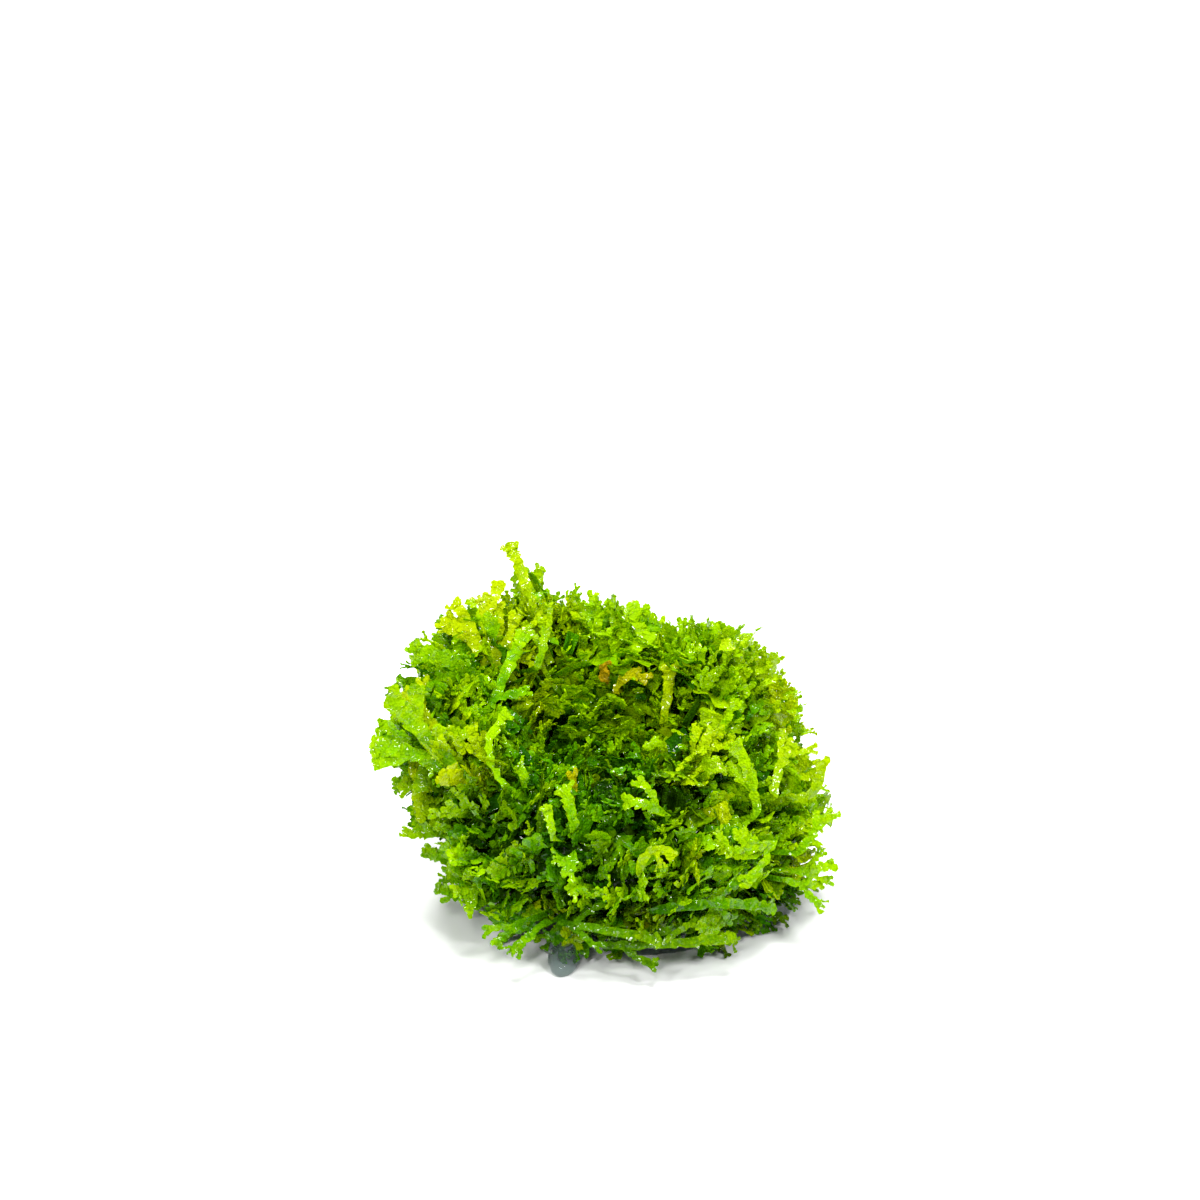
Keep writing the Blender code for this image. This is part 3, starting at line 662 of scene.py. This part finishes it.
def grow_notable(growths):
    """The fronds that stand out in the photograph. Each starts inside the clump, or in the hollow's wall."""
    for row, (node, points, width, depth, branches, tip_age, tone) in enumerate(NOTABLE):
        rng = np.random.default_rng((SEED, row))
        first, middle, last = (np.array(point) for point in points)
        inward, off = across_heart(first[None])
        if off[0] > HOLLOW_RADIUS:
            inside = first + unit(ROOT - first) * 3.0
        else:
            inside = first - inward[0] * 2.8 - UP * 1.2
        # A curve through the three points.
        u = np.linspace(0, 1, 13)[:, None]
        bend = 2.0 * middle - 0.5 * (first + last)
        shown = (1 - u) ** 2 * first + 2 * (1 - u) * u * bend + u * u * last
        curve = np.concatenate((inside + (first - inside) * np.linspace(0, 0.8, 5)[:, None], shown))
        place, total = lay(curve, unit(np.array((-0.1, -0.8, 0.5)) + rng.normal(0, 0.2, 3)))
        plan = frond_plan(
            rng, total, total - 2.6, width, branches, curl=rng.normal(0, 0.02), depth=depth, wander=0.3
        )

        def age_and_shade(points, share, tip_age=tip_age):
            return np.clip(tip_age + (1.0 - share) * 0.45, 0.0, 1.0)

        growths[node].add(plan, place, age_and_shade, tone)


# Materials

def linear(code):
    """A colour written as sRGB hex, as the linear values that shaders take."""
    values = [int(code[i:i + 2], 16) / 255 for i in (1, 3, 5)]
    return tuple(v / 12.92 if v <= 0.04045 else ((v + 0.055) / 1.055) ** 2.4 for v in values) + (1.0,)


def put(tree, kind, settings=(), links=()):
    """Adds a node with its settings, and links its inputs to other nodes' outputs."""
    node = tree.nodes.new("ShaderNode" + kind)
    for key, value in dict(settings).items():
        if isinstance(key, str) and hasattr(node, key):
            setattr(node, key, value)
        else:
            node.inputs[key].default_value = value
    for key, output in dict(links).items():
        tree.links.new(output, node.inputs[key])
    return node


def blank(name):
    """A new material and its empty tree."""
    material = bpy.data.materials.new(name)
    material.use_nodes = True
    material.node_tree.nodes.clear()
    return material, material.node_tree


def ramp(tree, value, stops):
    """A colour that follows a value through the given stops."""
    node = put(tree, "ValToRGB", links={"Fac": value})
    points = node.color_ramp.elements
    while len(points) < len(stops):
        points.new(1.0)
    for point, (place, code) in zip(points, stops):
        point.position = place
        point.color = linear(code)
    return node.outputs["Color"]


# The sizes of the thallus's patterns, in millimetres: paler and darker areas, streaks in them, its cells, and pools
# of the water film. The cells are really about 0.05 mm across, too fine to show, and are drawn coarser.
AREA = 1.6
STREAK = 0.42
CELL = 0.26
POOL = 0.6


def thallus():
    """Living riccardia thallus, wet: a leaf a few cells thick with no skin of its own. Light goes through it, so
    the young ends glow lime, and the old growth behind them is deep green. Its cells bulge, which gives it a pimply
    face, and here and there a film of water fills them out and gives small sharp glints. The leaf's own face lies
    against water, not air, so its IOR of 1.06 is that of cell wall over water, and it hardly shines by itself."""
    material, tree = blank("wet_riccardia_thallus")
    age_and_shade, tone, rim = (
        put(tree, "Attribute", {"attribute_name": name}).outputs["Fac"] for name in ("age_and_shade", "tone", "rim")
    )
    place = put(tree, "TexCoord").outputs["Object"]
    mottle = put(
        tree, "TexNoise", {"Scale": 1 / (AREA * MM), "Detail": 3.0, "Roughness": 0.6}, {"Vector": place}
    ).outputs["Fac"]
    streaks = put(
        tree, "TexNoise", {"Scale": 1 / (STREAK * MM), "Detail": 2.0, "Roughness": 0.6}, {"Vector": place}
    ).outputs["Fac"]
    cells = put(
        tree, "TexVoronoi", {"Scale": 1 / (CELL * MM), "Randomness": 1.0}, {"Vector": place}
    ).outputs["Distance"]
    rim_painted_light = put(tree, "Math", {"operation": "POWER", 1: 3.0}, {0: rim}).outputs[0]
    # Each pattern moves the leaf's colour darker or lighter along its ramp: the mottle and streaks are random tone,
    # the cells are darker at their edges, painted shade in the creases between them, and the thin margins are
    # lighter, painted light shining through them.
    shifted = put(tree, "Math", {"operation": "MULTIPLY_ADD", 1: 0.26, 2: -0.38}, {0: mottle}).outputs[0]
    for pattern, share in ((streaks, 0.36), (cells, 0.18), (rim_painted_light, -0.12)):
        shifted = put(tree, "Math", {"operation": "MULTIPLY_ADD", 1: share}, {0: pattern, 2: shifted}).outputs[0]
    grown = put(tree, "Math", {"operation": "ADD", "use_clamp": True}, {0: age_and_shade, 1: shifted}).outputs[0]
    # From the young tip, at 0, to the oldest growth in the deepest painted shade, at 1.
    green = ramp(tree, grown, (
        (0.00, "#A6D400"), (0.22, "#82BE00"), (0.45, "#529800"), (0.70, "#286600"), (1.00, "#163E00"),
    ))
    yellow = ramp(tree, grown, (
        (0.00, "#C8CE00"), (0.25, "#B0BA00"), (0.50, "#7A8C00"), (0.75, "#405200"), (1.00, "#1E2C00"),
    ))
    ochre = ramp(tree, grown, (
        (0.00, "#BE900C"), (0.40, "#866806"), (1.00, "#322A00"),
    ))
    # Tone 0 is green, 1 is yellow and 2 is ochre.
    leaf = put(tree, "Mix", {"data_type": "RGBA", "clamp_factor": True}, {0: tone, 6: green, 7: yellow}).outputs[2]
    turning = put(tree, "Math", {"operation": "SUBTRACT", "use_clamp": True, 1: 1.0}, {0: tone}).outputs[0]
    leaf = put(tree, "Mix", {"data_type": "RGBA"}, {0: turning, 6: leaf, 7: ochre}).outputs[2]
    bump = put(
        tree, "Bump", {"Strength": 1.0, "Distance": 0.12 * MM, "invert": True}, {"Height": cells}
    ).outputs["Normal"]
    # The water film lies where the noise is high, about half the leaf, and its face swells there.
    pooled = put(tree, "TexNoise", {"Scale": 1 / (POOL * MM), "Detail": 0.0}, {"Vector": place}).outputs["Fac"]
    film = put(tree, "Bump", {"Strength": 1.0, "Distance": 0.30 * MM}, {"Height": pooled}).outputs["Normal"]
    patches = put(tree, "MapRange", {1: 0.46, 2: 0.50, 3: 0.0, 4: 1.0}, {0: pooled}).outputs[0]
    body = put(tree, "BsdfPrincipled", {
        "IOR": 1.06, "Roughness": 0.35, "Coat Roughness": 0.04, "Coat IOR": 1.45,
    }, {"Base Color": leaf, "Normal": bump, "Coat Weight": patches, "Coat Normal": film})
    through = put(tree, "BsdfTranslucent", links={"Color": leaf, "Normal": bump})
    both = put(tree, "MixShader", {0: 0.42}, {1: body.outputs[0], 2: through.outputs[0]})
    put(tree, "OutputMaterial", links={"Surface": both.outputs[0]})
    return material


def culture_gel():
    """Agar gel, cast: water held by about one per cent agar, so it is clear but for a slight haze, very smooth and
    wet, and slate grey where it is thick, a tint that is partly painted shade of the dark moss over it. Its face
    swells a little every couple of millimetres."""
    material, tree = blank("clear_culture_gel")
    place = put(tree, "TexCoord").outputs["Object"]
    swell = put(tree, "TexNoise", {"Scale": 1 / (1.8 * MM), "Detail": 1.0}, {"Vector": place}).outputs["Fac"]
    bump = put(tree, "Bump", {"Strength": 0.5, "Distance": 0.30 * MM}, {"Height": swell}).outputs["Normal"]
    body = put(tree, "BsdfPrincipled", {
        "Base Color": linear("#A9B9B8"), "Roughness": 0.02, "IOR": 1.335, "Transmission Weight": 0.9,
    }, {"Normal": bump})
    # Its slate tint is partly its own and partly painted shade of the moss above.
    depth = put(tree, "VolumeAbsorption", {"Color": linear("#7E989A"), "Density": 80.0})
    put(tree, "OutputMaterial", links={"Surface": body.outputs[0], "Volume": depth.outputs[0]})
    return material


def pale_floor():
    """A pale acrylic sheet, matt."""
    material, tree = blank("pale_floor")
    body = put(tree, "BsdfPrincipled", {"Base Color": linear("#E9EAE9"), "Roughness": 0.6})
    put(tree, "OutputMaterial", links={"Surface": body.outputs[0]})
    return material


def grow_gel(material):
    """The gel pad and its tongue, made smooth from the solid: surface tension rounds every edge."""
    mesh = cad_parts["culture_gel"].data.copy()
    gel = bpy.data.objects.new("gel_pad", mesh)
    bpy.context.scene.collection.objects.link(gel)
    fine = gel.modifiers.new("fine", "REMESH")
    fine.mode = "VOXEL"
    fine.voxel_size = GEL_FACET * MM
    soft = gel.modifiers.new("soft", "SMOOTH")
    soft.factor = 0.5
    soft.iterations = 6
    bpy.context.view_layer.update()
    smooth = bpy.data.meshes.new_from_object(gel.evaluated_get(bpy.context.evaluated_depsgraph_get()))
    outward = [corner.normal.copy() for corner in smooth.vertices]
    for corner, normal in zip(smooth.vertices, outward):
        low = corner.co.z < FLAT_UNDER * MM
        corner.co += normal * SOFT_LOSS * MM
        if low:
            corner.co.z = 0.0
    gel.modifiers.clear()
    gel.data = smooth
    smooth.materials.clear()
    smooth.materials.append(material)
    smooth.shade_smooth()
    return gel


# Camera, light and floor: lens and sensor in millimetres, the camera's slope down and its distance in metres, the
# photograph's side in pixels, and where in it the middle of the gel's underside comes.
LENS = 85.0
SENSOR = 36.0
PITCH = math.radians(23.7)
DISTANCE = 0.283
PHOTO_SIDE = 1200
BASE_PIXEL = (668, 893)
FLOOR_SIDE = 6.0


def set_camera():
    """At the photograph's angle, with the clump at its own place in the frame."""
    forward = Vector((0.0, math.cos(PITCH), -math.sin(PITCH)))
    right = Vector((1.0, 0.0, 0.0))
    upward = right.cross(forward)
    wide = SENSOR / LENS / PHOTO_SIDE
    aside = (BASE_PIXEL[0] - PHOTO_SIDE / 2) * wide
    below = (BASE_PIXEL[1] - PHOTO_SIDE / 2) * wide
    lens = bpy.data.cameras.new("camera")
    lens.lens = LENS
    lens.sensor_width = SENSOR
    lens.clip_start = 0.01
    camera = bpy.data.objects.new("camera", lens)
    bpy.context.scene.collection.objects.link(camera)
    camera.location = -DISTANCE * (forward + right * aside - upward * below)
    camera.rotation_euler = forward.to_track_quat("-Z", "Y").to_euler()
    bpy.context.scene.camera = camera


def softbox(name, place, aim, size, power):
    """A white softbox: its place, what it points at, and its sides, in metres, and its power in watts."""
    light = bpy.data.lights.new(name, "AREA")
    light.shape = "RECTANGLE"
    light.size, light.size_y = size
    light.energy = power
    item = bpy.data.objects.new(name, light)
    bpy.context.scene.collection.objects.link(item)
    item.location = place
    item.rotation_euler = (Vector(aim) - Vector(place)).to_track_quat("-Z", "Y").to_euler()


def set_light():
    """Soft light from above and in front, and three small softboxes that give the wet fronds their glints."""
    world = bpy.data.worlds.new("studio")
    world.use_nodes = True
    world.node_tree.nodes["Background"].inputs["Color"].default_value = linear("#FFFFFF")
    world.node_tree.nodes["Background"].inputs["Strength"].default_value = 0.12
    bpy.context.scene.world = world
    softbox("overhead", (0.05, 0.00, 0.70), (0, 0, 0.01), (0.22, 0.18), 6.0)
    softbox("front", (-0.10, -0.65, 0.60), (0, 0, 0.015), (0.16, 0.13), 3.2)
    softbox("left_spark", (-0.40, -0.45, 0.45), (0, 0, 0.015), (0.11, 0.11), 2.6)
    softbox("right_spark", (0.40, -0.35, 0.50), (0, 0, 0.015), (0.11, 0.11), 2.6)
    softbox("back_spark", (-0.10, 0.50, 0.45), (0, 0, 0.015), (0.14, 0.14), 4.4)


def set_floor(material):
    """The pale sheet that the gel lies on, which isn't a part of the object."""
    bpy.ops.mesh.primitive_plane_add(size=FLOOR_SIDE, location=(0, 0, FLOOR_TOP * MM))
    floor = bpy.context.object
    floor.name = "floor"
    floor.data.materials.append(material)


def build():
    """All the pieces, each on the root and in place of its solid, and the studio round them."""
    rng = np.random.default_rng(SEED)
    leaf = thallus()
    growths = grow_tufts(rng)
    growths["foot_fringe"] = grow_fringe(rng)
    grow_notable(growths)
    for node, growth in growths.items():
        piece = growth.make(leaf)
        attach(piece, "root")
        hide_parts(node)
    gel = grow_gel(culture_gel())
    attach(gel, "root")
    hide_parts("culture_gel")
    set_floor(pale_floor())
    set_light()
    set_camera()
    bpy.context.scene.view_settings.view_transform = "Standard"


build()
